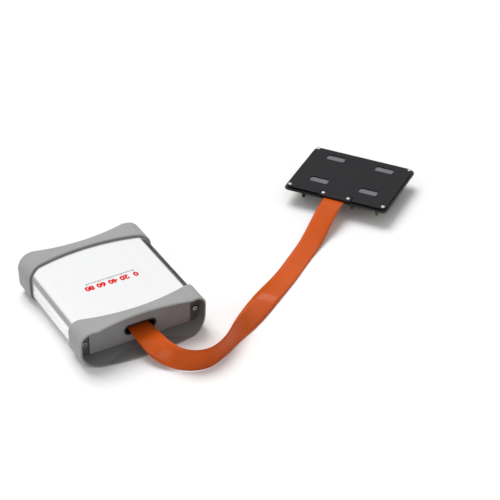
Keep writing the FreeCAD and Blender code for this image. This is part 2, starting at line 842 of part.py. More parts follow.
def power_switch():
    """Upright push switch on the board, bored for its plunger."""
    front = switch_front + switch_plunger_length
    body = block(switch_body_width, switch_body_depth, switch_body_rise,
                 button_x - switch_body_width / 2, front, board_top)
    bore = rod(switch_plunger_radius + button_fit,
               switch_plunger_hold + button_travel + switch_bore_room, button_x, front, port_height)
    return body.cut(bore)


def light_pipe():
    return rod(light_radius, light_length + light_fit, light_x, -light_fit, port_height)


def status_led():
    return block(led_width, led_depth, led_rise, light_x - led_width / 2, light_length, board_top)


def on_board(place, lift=0.0):
    x, y, width, depth, height = place
    return block(width, depth, height, x - width / 2, y - depth / 2, board_top + lift)


def board_chips():
    chips = []
    for place in chip_places:
        chip = on_board(place)
        top = [edge for edge in chip.Edges if edge.BoundBox.ZMin > board_top + place[4] - 0.01]
        chips.append(chip.makeChamfer(chip_bevel, top))
    return Part.makeCompound(chips)


def shield_can():
    can = on_board(shield_place)
    x, y, width, depth, height = shield_place
    inside = (x, y, width - 2 * shield_wall, depth - 2 * shield_wall, height - shield_wall)
    return can.cut(on_board(inside))


def battery():
    x, y, width, depth, height = battery_place
    cell = on_board(battery_place, battery_foam)
    long_edges = [edge for edge in cell.Edges if edge.BoundBox.YLength > depth / 2]
    return cell.makeFillet(battery_corner, long_edges)


def battery_foam_pad():
    x, y, width, depth, height = battery_place
    return on_board((x, y, width - 2 * battery_foam_inset, depth - 2 * battery_foam_inset,
                     battery_foam))


def battery_tabs():
    """Two nickel strips from the cell's end down to the board."""
    x, y, width, depth, height = battery_place
    end = y - depth / 2
    middle = board_top + battery_foam + height / 2
    tabs = []
    for side in (-1, 1):
        low_x = x + side * tab_x - tab_width / 2
        upright_strip = block(tab_width, tab_thickness, middle - board_top, low_x, end - tab_thickness,
                              board_top)
        foot = block(tab_width, tab_foot, tab_thickness, low_x, end - tab_foot, board_top)
        tabs.append(upright_strip.fuse(foot))
    return Part.makeCompound(tabs)


def pieces():
    """Every piece by node name."""
    made = {
        "front_bumper": bumper(),
        "shell_top": shell_half(True),
        "shell_bottom": shell_half(False),
        "front_panel": front_panel(),
        "port_bezel": port_bezel(),
        "front_screws": end_screws(),
        "main_board": main_board(),
        "ribbon_socket": ribbon_socket(),
        "socket_pins": socket_pins(),
        "board_chips": board_chips(),
        "shield_can": shield_can(),
        "battery": battery(),
        "battery_foam": battery_foam_pad(),
        "battery_tabs": battery_tabs(),
        "lead_plug": lead_plug(),
        "plug_contacts": plug_contacts(),
        "ribbon_lead": ribbon_lead(),
    }
    made["rear_bumper"] = turned(made["front_bumper"])
    made["rear_screws"] = turned(made["front_screws"])
    for name, shape in (("rear_panel", rear_panel()), ("usb_socket", usb_socket()),
                        ("power_button", power_button()), ("switch_plunger", switch_plunger()),
                        ("power_switch", power_switch()), ("light_pipe", light_pipe()),
                        ("status_led", status_led())):
        made[name] = turned(shape)
    for name, shape in (("probe_carrier", probe_carrier()), ("probe_cones", probe_cones()),
                        ("sensor_flex", sensor_flex()), ("pressure_pad", pressure_pad()),
                        ("fixture_cover", fixture_cover()), ("ribbon_clamp", ribbon_clamp()),
                        ("fixture_screws", fixture_screws()), ("fixture_nuts", fixture_nuts())):
        made[name] = fixture_frame(shape)
    return made


os.makedirs("parts", exist_ok=True)
for name, shape in pieces().items():
    if not shape.isValid():
        print("not valid:", name)
    shape.exportStep("parts/%s.step" % name)
    print(name, len(shape.Solids), "solids, volume %.1f" % shape.Volume)
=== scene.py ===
"""Looks of a temperature logger, its ribbon lead and its probe fixture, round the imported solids."""

import json
import math

import bmesh
import bpy
from bpy.props import FloatProperty, FloatVectorProperty, IntProperty, PointerProperty
from mathutils import Matrix, Vector

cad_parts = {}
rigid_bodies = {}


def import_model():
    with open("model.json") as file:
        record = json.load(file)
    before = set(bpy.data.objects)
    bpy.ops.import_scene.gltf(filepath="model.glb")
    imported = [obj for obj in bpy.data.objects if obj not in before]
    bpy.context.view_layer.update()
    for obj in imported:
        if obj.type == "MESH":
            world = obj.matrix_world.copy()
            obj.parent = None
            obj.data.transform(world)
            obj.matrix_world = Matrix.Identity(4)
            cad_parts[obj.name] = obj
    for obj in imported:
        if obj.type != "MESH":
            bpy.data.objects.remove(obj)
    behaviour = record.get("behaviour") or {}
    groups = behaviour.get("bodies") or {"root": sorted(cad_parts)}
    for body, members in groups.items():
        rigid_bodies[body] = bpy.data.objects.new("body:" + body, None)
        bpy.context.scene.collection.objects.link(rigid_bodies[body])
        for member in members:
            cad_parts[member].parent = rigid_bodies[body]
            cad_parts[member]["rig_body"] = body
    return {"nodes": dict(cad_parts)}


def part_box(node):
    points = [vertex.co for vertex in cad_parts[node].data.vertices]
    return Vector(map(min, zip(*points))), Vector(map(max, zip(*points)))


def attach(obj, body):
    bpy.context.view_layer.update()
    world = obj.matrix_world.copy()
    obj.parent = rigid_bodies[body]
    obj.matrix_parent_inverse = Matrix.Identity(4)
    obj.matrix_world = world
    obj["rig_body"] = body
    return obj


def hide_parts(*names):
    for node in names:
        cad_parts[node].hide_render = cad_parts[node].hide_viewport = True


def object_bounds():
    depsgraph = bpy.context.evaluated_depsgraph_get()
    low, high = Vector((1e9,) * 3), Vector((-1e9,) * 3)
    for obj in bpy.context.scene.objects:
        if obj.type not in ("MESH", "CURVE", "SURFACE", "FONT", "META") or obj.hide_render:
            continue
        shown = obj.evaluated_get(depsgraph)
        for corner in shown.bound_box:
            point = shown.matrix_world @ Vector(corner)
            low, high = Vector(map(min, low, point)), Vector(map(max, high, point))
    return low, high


bl_info = {
    "name": "Temperature logger",
    "version": (1, 0, 0),
    "blender": (4, 5, 0),
    "location": "3D View > Sidebar > Logger",
    "description": "Builds the looks of a temperature logger with its ribbon lead and probe fixture",
    "category": "Object",
}

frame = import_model()
CAD_BOX = [list(corner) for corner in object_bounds()]
NODES = frame["nodes"]

# The lead's middle line: the CAD source's points, in metres, and its lean in degrees at each
ROUTE = (
    (0.0, 0.009, 0.0184),
    (0.0004, -0.014, 0.018),
    (0.0025, -0.036, 0.0148),
    (0.0145, -0.0565, 0.0119),
    (0.0365, -0.066, 0.0114),
    (0.060, -0.056, 0.0114),
    (0.0808, -0.0404, 0.0111),
    (0.1057, -0.0236, 0.0086),
    (0.1373, 0.0009, 0.0039),
    (0.1687, 0.0224, 0.0010),
    (0.1957, 0.0430, 0.0004),
    (0.2203, 0.0602, 0.0026),
    (0.2387, 0.0740, 0.0098),
    (0.2510, 0.0826, 0.0150),
    (0.2623, 0.0909, 0.01715),
    (0.2760, 0.1009, 0.01715),
)
LEANS = (0, 4, 44, 80, 89, 89, 72, 45, 16, 1, 0, 0, 0, 0, 0, 0)
FIXTURE_HEADING = math.radians(36)

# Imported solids: points nearer than this are one, flatter edges vanish, sharper ones are rounded
MERGE_DISTANCE = 1e-6
FLAT_EDGE = math.radians(0.6)
SHARP_EDGE = math.radians(28)
# Shading is smooth over edges up to these angles
SMOOTH_EDGE = math.radians(40)
SMOOTH_FILM = math.radians(60)

# Printed scale: its middle on the case's top, and its two rows as measured from there
SCALE_PLACE = (-0.0005, 0.0560)
NUMERALS = ("0", "20", "40", "60", "80")
NUMERAL_PITCH = 0.0120
NUMERAL_ROW = 0.0010
TICKS_PER_NUMERAL = 5
TICK_WIDTH = 0.0011
LONG_TICK = 0.0027
SHORT_TICK = 0.0017
TICK_FOOT = -0.0065

# Camera and lamps
CAMERA_PLACE = (-0.6082, -1.2846, 1.1000)
AIM_BELOW_MIDDLE = 0.004
SKY_PLACE = (0.15, 1.0, 1.6)
FILL_PLACE = (-1.5, -0.2, 0.9)
LAMP_AIM = (0.1, 0.05, 0.0)


class LoggerSizes(bpy.types.PropertyGroup):
    """Sizes that a user would change."""

    ribbon_width: FloatProperty(
        name="Ribbon width", description="Width of the flat lead", default=0.022,
        unit="LENGTH", subtype="DISTANCE")
    ribbon_thickness: FloatProperty(
        name="Ribbon thickness", description="Thickness of the flat lead", default=0.0003,
        unit="LENGTH", subtype="DISTANCE")
    ribbon_tracks: IntProperty(
        name="Tracks", description="Copper tracks that show through the film", default=12)
    rubber_edge: FloatProperty(
        name="Rubber edge", description="Rounding of the bumpers' edges", default=0.0004,
        unit="LENGTH", subtype="DISTANCE")
    metal_edge: FloatProperty(
        name="Metal edge", description="Rounding of edges on metal and plastic", default=0.00015,
        unit="LENGTH", subtype="DISTANCE")
    numeral_height: FloatProperty(
        name="Numeral height", description="Height of the printed numerals", default=0.0088,
        unit="LENGTH", subtype="DISTANCE")
    print_thickness: FloatProperty(
        name="Print thickness", description="Height of the ink on the case", default=0.00004,
        unit="LENGTH", subtype="DISTANCE")
    lens: FloatProperty(
        name="Lens", description="Focal length of the camera, in millimetres", default=139.0,
        unit="CAMERA")


class LoggerColours(bpy.types.PropertyGroup):
    """Colours that a user would change."""

    rubber: FloatVectorProperty(
        name="Rubber", description="Bumpers", subtype="COLOR", size=3,
        default=(0.33, 0.33, 0.328))
    case: FloatVectorProperty(
        name="Case", description="Anodised shell", subtype="COLOR", size=3,
        default=(0.95, 0.955, 0.96))
    panel: FloatVectorProperty(
        name="Panel", description="End panels", subtype="COLOR", size=3,
        default=(0.25, 0.252, 0.256))
    film: FloatVectorProperty(
        name="Film", description="Polyimide film", subtype="COLOR", size=3,
        default=(0.54, 0.081, 0.006))
    ink: FloatVectorProperty(
        name="Ink", description="Printed numerals", subtype="COLOR", size=3,
        default=(0.66, 0.009, 0.013))
    floor: FloatVectorProperty(
        name="Floor", description="Table top", subtype="COLOR", size=3, default=(0.9, 0.9, 0.9))


def sizes():
    return bpy.context.scene.logger_sizes


def colours():
    return bpy.context.scene.logger_colours


def shaded(colour, share):
    """A colour made darker or lighter, by one share all over or by one for each channel."""
    shares = share if isinstance(share, tuple) else (share,) * len(colour)
    return tuple(min(1.0, channel * part) for channel, part in zip(colour, shares))


class NodeWork:
    """A node tree under construction, with helpers that add nodes and feed their sockets."""

    def __init__(self, tree):
        self.tree = tree

    def feed(self, socket, value):
        """Links a socket to another node's output, or gives it a value of its own."""
        if isinstance(value, bpy.types.NodeSocket):
            self.tree.links.new(value, socket)
        else:
            socket.default_value = value

    def add(self, kind, **inputs):
        """Adds a node. An underscore in an input's name stands for a space."""
        node = self.tree.nodes.new(kind)
        for socket, value in inputs.items():
            self.feed(node.inputs[socket.replace("_", " ")], value)
        return node

    def work_out(self, kind, operation, values):
        """Adds a node that does one operation on the values, and gives its outputs."""
        node = self.add(kind)
        node.operation = operation
        for socket, value in zip(node.inputs, values):
            self.feed(socket, value)
        return node.outputs

    def math(self, operation, *values):
        return self.work_out("ShaderNodeMath", operation, values)[0]

    def vector_math(self, operation, *vectors):
        """The number that an operation on vectors gives, such as a distance."""
        return self.work_out("ShaderNodeVectorMath", operation, vectors)["Value"]

    def span(self, value, low, high, from_low=0.3, from_high=0.7, kind="LINEAR"):
        """Maps a value's range, a texture's middle one if none is given, to low and high."""
        node = self.add("ShaderNodeMapRange")
        node.interpolation_type = kind
        for name, given in (("Value", value), ("From Min", from_low), ("From Max", from_high),
                            ("To Min", low), ("To Max", high)):
            self.feed(node.inputs[name], given)
        return node.outputs["Result"]


class Finish(NodeWork):
    """A material under construction: one shader, and helpers that add layers to it."""

    def __init__(self, name, **sockets):
        self.material = bpy.data.materials.new(name)
        self.material.use_nodes = True
        super().__init__(self.material.node_tree)
        self.shader = self.tree.nodes["Principled BSDF"]
        for socket, value in sockets.items():
            self.shader.inputs[socket.replace("_", " ")].default_value = value
        self.coordinates = {}
        self.last_normal = None

    def place(self, stretch=(1, 1, 1), turn=(0, 0, 0), source="Object"):
        """Coordinates on the piece, turned and stretched."""
        if source not in self.coordinates:
            self.coordinates[source] = self.add("ShaderNodeTexCoord").outputs[source]
        mapping = self.add("ShaderNodeMapping", Vector=self.coordinates[source], Rotation=turn,
                           Scale=stretch)
        return mapping.outputs["Vector"]

    def axes(self, **placing):
        """Coordinates on the piece, as one output for each axis."""
        return self.add("ShaderNodeSeparateXYZ", Vector=self.place(**placing)).outputs

    def noise(self, scale, detail=3.0, stretch=(1, 1, 1), turn=(0, 0, 0)):
        node = self.add("ShaderNodeTexNoise", Vector=self.place(stretch, turn), Scale=scale,
                        Detail=detail, Roughness=0.55)
        return node.outputs["Fac"]

    def cells(self, scale, stretch=(1, 1, 1)):
        node = self.add("ShaderNodeTexVoronoi", Vector=self.place(stretch), Scale=scale)
        return node.outputs["Distance"]

    def blend(self, share, first, second):
        node = self.tree.nodes.new("ShaderNodeMix")
        node.data_type = "RGBA"
        self.feed(node.inputs["Factor"], share)
        self.feed(node.inputs["A"], (*first, 1) if isinstance(first, tuple) else first)
        self.feed(node.inputs["B"], (*second, 1) if isinstance(second, tuple) else second)
        return node.outputs["Result"]

    def colour(self, value):
        self.feed(self.shader.inputs["Base Color"], value)

    def mottle(self, base, share, by):
        """Base colour that swings darker and lighter by a share, following a texture."""
        darker, lighter = shaded(base, 1 - share), shaded(base, 1 + share)
        self.colour(self.blend(self.span(by, 0.0, 1.0), darker, lighter))

    def rough(self, low, high, by):
        self.feed(self.shader.inputs["Roughness"], self.span(by, low, high))

    def bump(self, height, distance, strength=1.0):
        """Adds relief of a texture's height over the relief that is there."""
        node = self.add("ShaderNodeBump", Height=height, Distance=distance, Strength=strength)
        if self.last_normal:
            self.tree.links.new(self.last_normal, node.inputs["Normal"])
        self.last_normal = node.outputs["Normal"]
        self.feed(self.shader.inputs["Normal"], self.last_normal)


def grained(name, grain=2600.0, depth=0.00003, low=0.45, high=0.6, **sockets):
    """Moulded skin that has no colour yet: fine grain and uneven gloss."""
    finish = Finish(name, **sockets)
    finish.rough(low, high, finish.noise(scale=260.0))
    finish.bump(finish.noise(grain, detail=2.0), depth)
    return finish


def moulded(name, base, share=0.07, **skin):
    """Moulded rubber or plastic: a grained skin with faint flow shades."""
    finish = grained(name, **skin)
    finish.mottle(base, share, finish.noise(scale=34.0, detail=4.0))
    return finish


def metal(name, base, low=0.28, high=0.36, stretch=(1, 1, 1), grain=1500.0, depth=0.000006,
          share=0.05, turn=(0, 0, 0)):
    """Metal with the lines that its rolling, turning or brushing left."""
    finish = Finish(name, Metallic=1.0)
    lines = finish.noise(grain, detail=2.0, stretch=stretch, turn=turn)
    finish.mottle(base, share, lines)
    finish.rough(low, high, finish.noise(grain / 3, detail=2.0, stretch=stretch, turn=turn))
    finish.bump(lines, depth)
    return finish


def rubber_finish(corner=0.013, rim=0.0017, skin_shades=(0.95, 1.05), mouth_painted_shades=(0.46, 0.53)):
    """Soft grey rubber with painted shade inside the mouths, where it is darker than on the outer
    skin.

    What lies deeper than the rim inside the bumpers' outline with its round corners is mouth, and
    takes the painted shade.
    """
    base = tuple(colours().rubber)
    finish = grained("moulded_rubber", grain=2400.0, depth=0.00005, low=0.55, high=0.72)
    bumper_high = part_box("front_bumper")[1]
    half_width, half_height = bumper_high.x, bumper_high.z / 2
    axes = finish.axes()
    across = finish.math("SUBTRACT", finish.math("ABSOLUTE", axes["X"]), half_width - corner)
    level = finish.math("ABSOLUTE", finish.math("SUBTRACT", axes["Z"], half_height))
    level = finish.math("SUBTRACT", level, half_height - corner)
    squares = [finish.math("POWER", finish.math("MAXIMUM", side, 0.0), 2.0)
               for side in (across, level)]
    depth = finish.math("SUBTRACT", corner, finish.math("SQRT", finish.math("ADD", *squares)))
    # painted shade: the rubber deeper than the rim inside the mouths is painted darker, where shade
    # falls
    inside = finish.span(depth, 0.0, 1.0, from_low=rim * 0.6, from_high=rim * 1.05)
    swing = finish.span(finish.noise(scale=34.0, detail=4.0), 0.0, 1.0)
    skin = finish.blend(swing, *(shaded(base, share) for share in skin_shades))
    # darker copy of the rubber that stands in for the shade inside the mouths
    mouth = finish.blend(swing, *(shaded(base, share) for share in mouth_painted_shades))
    finish.colour(finish.blend(inside, skin, mouth))
    finish.bump(finish.noise(scale=620.0, detail=2.0), distance=0.00004)
    return finish


def case_finish():
    """Satin anodised extrusion: faint lines along its length and a soft cloudy sheen."""
    finish = Finish("anodised_case", Metallic=1.0)
    lines = finish.noise(scale=700.0, stretch=(1, 0.01, 1))
    clouds = finish.noise(scale=300.0, detail=2.0, stretch=(1, 0.02, 1))
    finish.mottle(tuple(colours().case), share=0.006, by=lines)
    finish.rough(low=0.2, high=0.25, by=clouds)
    finish.bump(finish.noise(scale=2600.0, detail=1.0), distance=0.0000005)
    return finish


def panel_finish(pad_half_width=0.0519, pocket_painted_shade=0.35):
    """Moulded panel: a lighter pad between two screw pockets that are painted darker as shade."""
    base = tuple(colours().panel)
    finish = grained("panel_grain_and_pocket_shade", grain=3200.0, depth=0.00005, low=0.42, high=0.55)
    across = finish.math("ABSOLUTE", finish.axes()["X"])
    # painted shade: the recessed screw pockets beside the pad are painted darker
    pocket = finish.math("GREATER_THAN", across, pad_half_width)
    swing = finish.span(finish.noise(scale=40.0), low=0.92, high=1.06)
    pad = finish.blend(swing, (0, 0, 0), base)
    finish.colour(finish.blend(pocket, pad, shaded(base, pocket_painted_shade)))
    finish.bump(finish.cells(scale=1500.0), distance=0.00003)
    return finish


def film_finish(name, source, turn=(0, 0, 0)):
    """Amber film with a glossy cover layer and copper tracks that show through faintly."""
    film = tuple(colours().film)
    finish = Finish(name, Coat_Weight=0.26, Coat_Roughness=0.06, Specular_IOR_Level=0.05)
    if source == "UV":
        across = finish.axes(source="UV")["Y"]
    else:
        across = finish.math("MULTIPLY", finish.axes(turn=turn)["X"], 1 / sizes().ribbon_width)
    wave = finish.math("PINGPONG", finish.math("MULTIPLY", across, sizes().ribbon_tracks), 0.5)
    lines = finish.span(wave, 0.0, 1.0, from_low=0.16, from_high=0.24)
    swing = finish.span(finish.noise(scale=30.0), 0.0, 1.0)
    bare = finish.blend(swing, shaded(film, 0.95), shaded(film, 1.08))
    over_copper = finish.blend(swing, shaded(film, (0.80, 0.76, 0.85)),
                               shaded(film, (0.88, 0.84, 1.0)))
    finish.colour(finish.blend(lines, bare, over_copper))
    finish.rough(low=0.285, high=0.35, by=finish.noise(scale=120.0))
    finish.bump(lines, distance=0.000004, strength=0.5)
    return finish


def board_finish():
    """Green solder mask with faint tracks under it."""
    finish = Finish("solder_mask", Coat_Weight=0.4, Coat_Roughness=0.2)
    brick = finish.add("ShaderNodeTexBrick", Vector=finish.place(), Scale=160.0, Mortar_Size=0.03)
    tracks = brick.outputs["Fac"]
    finish.colour(finish.blend(tracks, (0.012, 0.11, 0.045), (0.03, 0.19, 0.075)))
    finish.rough(low=0.285, high=0.4, by=finish.noise(scale=300.0))
    finish.bump(tracks, distance=0.00003)
    return finish


def foil_finish():
    """Foil of the pouch cell, softly dented."""
    finish = metal("cell_foil", (0.62, 0.63, 0.66), low=0.3, high=0.5, grain=240.0, depth=0.00005)
    finish.bump(finish.cells(scale=90.0, stretch=(1, 0.6, 1)), distance=0.0002, strength=0.5)
    return finish


def weave_finish(name, base):
    """Glass laminate: its fine square weave shows in the lacquer."""
    finish = moulded(name, base, grain=1800.0, depth=0.00001, low=0.3, high=0.42, share=0.1)
    threads = []
    for heading in (FIXTURE_HEADING, FIXTURE_HEADING + math.pi / 2):
        node = finish.add("ShaderNodeTexWave", Vector=finish.place(turn=(0, 0, heading)),
                          Scale=420.0, Distortion=0.6)
        threads.append(node.outputs["Fac"])
    finish.bump(finish.math("MULTIPLY", *threads), distance=0.00003)
    return finish


def dress(finish, *objects):
    for piece in objects:
        piece.data.materials.clear()
        piece.data.materials.append(finish.material)


def new_piece(name, mesh, body, finish, smooth=None):
    """Links a finished mesh as a piece that rides on a body and takes a finish."""
    piece = bpy.data.objects.new(name, mesh)
    bpy.context.scene.collection.objects.link(piece)
    if smooth is not None:
        mesh.shade_smooth()
        mesh.set_sharp_from_angle(angle=smooth)
    dress(finish, piece)
    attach(piece, body)
    return piece


def mesh_from(work, name):
    """The mesh that a bmesh holds."""
    mesh = bpy.data.meshes.new(name)
    work.to_mesh(mesh)
    work.free()
    return mesh


def mesh_of_curve(curve):
    """The mesh that a curve or a text makes. The curve itself is used up."""
    holder = bpy.data.objects.new(curve.name, curve)
    mesh = bpy.data.meshes.new_from_object(holder)
    bpy.data.objects.remove(holder)
    bpy.data.curves.remove(curve)
    return mesh


def eased(node, edge, finish, segments=2):
    """A merged copy of a CAD node with its sharp edges rounded, which stands for that node."""
    work = bmesh.new()
    work.from_mesh(NODES[node].data)
    bmesh.ops.remove_doubles(work, verts=work.verts, dist=MERGE_DISTANCE)
    bmesh.ops.dissolve_limit(work, angle_limit=FLAT_EDGE, verts=work.verts, edges=work.edges)
    sharp = [e for e in work.edges if e.is_manifold and e.calc_face_angle() > SHARP_EDGE]
    bmesh.ops.bevel(work, geom=sharp, offset=edge, segments=segments, affect="EDGES", profile=0.5,
                    material=-1, clamp_overlap=True)
    piece = new_piece(node + "_finished", mesh_from(work, node + "_finished"),
                      NODES[node]["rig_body"], finish, SMOOTH_EDGE)
    weighted = piece.modifiers.new("even_normals", "WEIGHTED_NORMAL")
    weighted.keep_sharp = True
    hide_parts(node)
    return piece


def spline_places(points):
    """Places read along the smooth spline that has these control points."""
    curve = bpy.data.curves.new("lead_line", "CURVE")
    curve.dimensions = "3D"
    curve.resolution_u = 16
    spline = curve.splines.new("NURBS")
    spline.points.add(len(points) - 1)
    for point, place in zip(spline.points, points):
        point.co = (*place, 1)
    spline.order_u = 3
    spline.use_endpoint_u = True
    mesh = mesh_of_curve(curve)
    places = [vertex.co.copy() for vertex in mesh.vertices]
    bpy.data.meshes.remove(mesh)
    return places


def lead_frames():
    """Middle line of the lead, with the direction across its width at each place."""
    line = spline_places(ROUTE)
    leans = [place.x for place in spline_places([(lean, 0, 0) for lean in LEANS])]
    frames = []
    for index, (here, lean) in enumerate(zip(line, leans)):
        before, after = line[max(index - 1, 0)], line[min(index + 1, len(line) - 1)]
        direction = (after - before).normalized()
        level = Vector((0, 0, 1)).cross(direction).normalized()
        rise = direction.cross(level).normalized()
        angle = math.radians(lean)
        frames.append((here, level * math.cos(angle) + rise * math.sin(angle)))
    return frames


class LOGGER_OT_lead(bpy.types.Operator):
    """Flat ribbon lead, on edge round its bend and flat along its run"""

    bl_idname = "logger.lead"
    bl_label = "Ribbon lead"

    def execute(self, context):
        frames = lead_frames()
        steps, across, half = len(frames) - 1, 6, 0.5
        work = bmesh.new()
        bmesh.ops.create_grid(work, x_segments=steps, y_segments=across, size=half, calc_uvs=True)
        for vertex in work.verts:
            place, side = frames[round((vertex.co.x + half) * steps)]
            vertex.co = place + side * (vertex.co.y * sizes().ribbon_width)
        lead = new_piece("ribbon", mesh_from(work, "ribbon"), "probe_lead",
                         film_finish("amber_film", "UV"), SMOOTH_FILM)
        wall = lead.modifiers.new("film_thickness", "SOLIDIFY")
        wall.thickness = sizes().ribbon_thickness
        wall.offset = 0.0
        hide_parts("ribbon_lead")
        black = moulded("plug_moulding", (0.016, 0.016, 0.017), depth=0.00002)
        plug = eased("lead_plug", edge=0.0002, finish=black)
        gold = metal("contact_gold", (0.83, 0.62, 0.26), low=0.16, high=0.26)
        dress(gold, NODES["plug_contacts"], NODES["socket_pins"], NODES["battery_tabs"])
        return {"FINISHED"}


class LOGGER_OT_bumpers(bpy.types.Operator):
    """Two rubber bumpers with raked, scooped mouths"""

    bl_idname = "logger.bumpers"
    bl_label = "Bumpers"

    def execute(self, context):
        finish = rubber_finish()
        for node in ("front_bumper", "rear_bumper"):
            eased(node, sizes().rubber_edge, finish, segments=3)
        return {"FINISHED"}


class LOGGER_OT_case(bpy.types.Operator):
    """Split anodised shell, end panels, bezel and panel screws"""

    bl_idname = "logger.case"
    bl_label = "Case"

    def execute(self, context):
        edge = sizes().metal_edge
        case = case_finish()
        for node in ("shell_top", "shell_bottom"):
            eased(node, edge, case)
        panel = panel_finish()
        for node in ("front_panel", "rear_panel"):
            eased(node, edge * 2, panel)
        black = moulded("bezel_moulding", (0.012, 0.012, 0.013), depth=0.00002, low=0.3, high=0.42)
        eased("port_bezel", edge, black)
        steel = metal("screw_steel", (0.26, 0.26, 0.27), low=0.12, high=0.2, grain=2400.0)
        for node in ("front_screws", "rear_screws"):
            eased(node, edge, steel)
        return {"FINISHED"}


def ink_finish(name, base):
    """Flat printing ink."""
    return moulded(name, base, depth=0.000004, low=0.45, high=0.55, Specular_IOR_Level=0.1)


def numeral_mesh(number, height, thickness, boldness=0.058):
    """A numeral that lies flat round the origin, made bolder by a share of its height."""
    text = bpy.data.curves.new("numerals", "FONT")
    text.body = number
    text.size = height
    text.extrude = thickness / 2
    text.offset = height * boldness
    text.resolution_u = 4
    text.align_x = "CENTER"
    text.align_y = "CENTER"
    return mesh_of_curve(text)


def stamp(work, width, depth, height, x, y):
    """Adds one thin bar of ink to a bmesh, its middle at x, y and its underside at zero."""
    made = bmesh.ops.create_cube(work, size=1.0)
    bmesh.ops.scale(work, vec=(width, depth, height), verts=made["verts"])
    bmesh.ops.translate(work, vec=(x, y, height / 2), verts=made["verts"])


class LOGGER_OT_scale(bpy.types.Operator):
    """Plain printed temperature scale on the case's top"""

    bl_idname = "logger.scale"
    bl_label = "Printed scale"

    def execute(self, context):
        red = ink_finish("red_ink", tuple(colours().ink))
        grey = ink_finish("grey_ink", (0.16, 0.16, 0.17))
        thickness = sizes().print_thickness
        intervals = len(NUMERALS) - 1
        numerals = bmesh.new()
        for index, number in enumerate(NUMERALS):
            mesh = numeral_mesh(number, sizes().numeral_height, thickness)
            x = (index - intervals / 2) * NUMERAL_PITCH
            mesh.transform(Matrix.Translation((x, NUMERAL_ROW, thickness / 2)))
            numerals.from_mesh(mesh)
            bpy.data.meshes.remove(mesh)
        ticks = bmesh.new()
        for index in range(intervals * TICKS_PER_NUMERAL + 1):
            length = SHORT_TICK if index % TICKS_PER_NUMERAL else LONG_TICK
            x = (index / TICKS_PER_NUMERAL - intervals / 2) * NUMERAL_PITCH
            stamp(ticks, TICK_WIDTH, length, thickness, x, TICK_FOOT + length / 2)
        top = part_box("shell_top")[1].z
        half_turn = Matrix.Translation((*SCALE_PLACE, top)) @ Matrix.Rotation(math.pi, 4, "Z")
        for work, name, finish in ((numerals, "scale_numerals", red), (ticks, "scale_ticks", grey)):
            bmesh.ops.transform(work, matrix=half_turn, verts=work.verts)
            new_piece(name, mesh_from(work, name), "logger", finish)
        return {"FINISHED"}


class LOGGER_OT_electronics(bpy.types.Operator):
    """Board, chips, battery and sockets inside the case"""

    bl_idname = "logger.electronics"
    bl_label = "Electronics"

    def execute(self, context):
        dress(board_finish(), NODES["main_board"])
        epoxy = moulded("chip_epoxy", (0.02, 0.02, 0.022), grain=5000.0)
        dress(epoxy, NODES["board_chips"])
        black = moulded("socket_moulding", (0.018, 0.018, 0.019), depth=0.00002)
        for node in ("ribbon_socket", "power_switch"):
            eased(node, sizes().metal_edge, black)
        tin = metal("shield_tin", (0.72, 0.73, 0.72), low=0.3, high=0.45, grain=900.0)
        dress(tin, NODES["shield_can"])
        dress(foil_finish(), NODES["battery"])
        foam = moulded("cell_foam", (0.03, 0.03, 0.033), grain=1600.0, depth=0.0002, low=0.8,
                       high=0.9)
        dress(foam, NODES["battery_foam"])
        return {"FINISHED"}


class LOGGER_OT_controls(bpy.types.Operator):
    """Rear controls: data socket, power button and status light"""

    bl_idname = "logger.controls"
    bl_label = "Rear controls"

    def execute(self, context):
        edge = sizes().metal_edge
        steel = metal("socket_steel", (0.7, 0.7, 0.71), low=0.29, high=0.38, grain=2000.0)
        eased("usb_socket", edge / 2, steel)
        cap = moulded("button_moulding", (0.05, 0.051, 0.054), low=0.35, high=0.46)
        eased("power_button", edge, cap)
        white = moulded("white_moulding", (0.78, 0.78, 0.75), low=0.3, high=0.4)
        dress(white, NODES["switch_plunger"], NODES["status_led"])
        clear = moulded("light_guide", (0.62, 0.8, 0.66), low=0.1, high=0.18, share=0.04,
                        Transmission_Weight=0.6, IOR=1.49)
        eased("light_pipe", edge, clear)
        return {"FINISHED"}


class LOGGER_OT_fixture(bpy.types.Operator):
    """Probe fixture: carrier, well probes, sensor circuit, pad, cover and clamp"""

    bl_idname = "logger.fixture"
    bl_label = "Probe fixture"

    def execute(self, context):
        edge = sizes().metal_edge
        turn = (0, 0, math.pi / 2 - FIXTURE_HEADING)
        laminate = weave_finish("carrier_laminate", (0.022, 0.022, 0.024))
        eased("probe_carrier", edge, laminate)
        gold = metal("probe_gold", (0.86, 0.70, 0.42), low=0.19, high=0.265, stretch=(1, 1, 12),
                     grain=1400.0)
        eased("probe_cones", edge, gold)
        dress(film_finish("sensor_film", "Object", turn), NODES["sensor_flex"])
        pad = moulded("silicone_pad", (0.14, 0.145, 0.155), grain=900.0, low=0.5, high=0.62)
        eased("pressure_pad", edge, pad)
        black = metal("black_anodised", (0.035, 0.035, 0.038), low=0.3, high=0.42,
                      stretch=(0.02, 1, 1), turn=turn, grain=2200.0)
        eased("fixture_cover", edge, black)
        eased("ribbon_clamp", edge * 2, black)
        steel = metal("small_screw_steel", (0.76, 0.76, 0.76), low=0.15, high=0.26, grain=2600.0)
        for node in ("fixture_screws", "fixture_nuts"):
            eased(node, edge / 2, steel)
        return {"FINISHED"}


def aimed(name, data, place, aim):
    """A new camera or lamp that stands at a place and looks at another."""
    holder = bpy.data.objects.new(name, data)
    bpy.context.scene.collection.objects.link(holder)
    holder.location = place
    holder.rotation_mode = "QUATERNION"
    holder.rotation_quaternion = (Vector(aim) - Vector(place)).to_track_quat("-Z", "Y")
    return holder


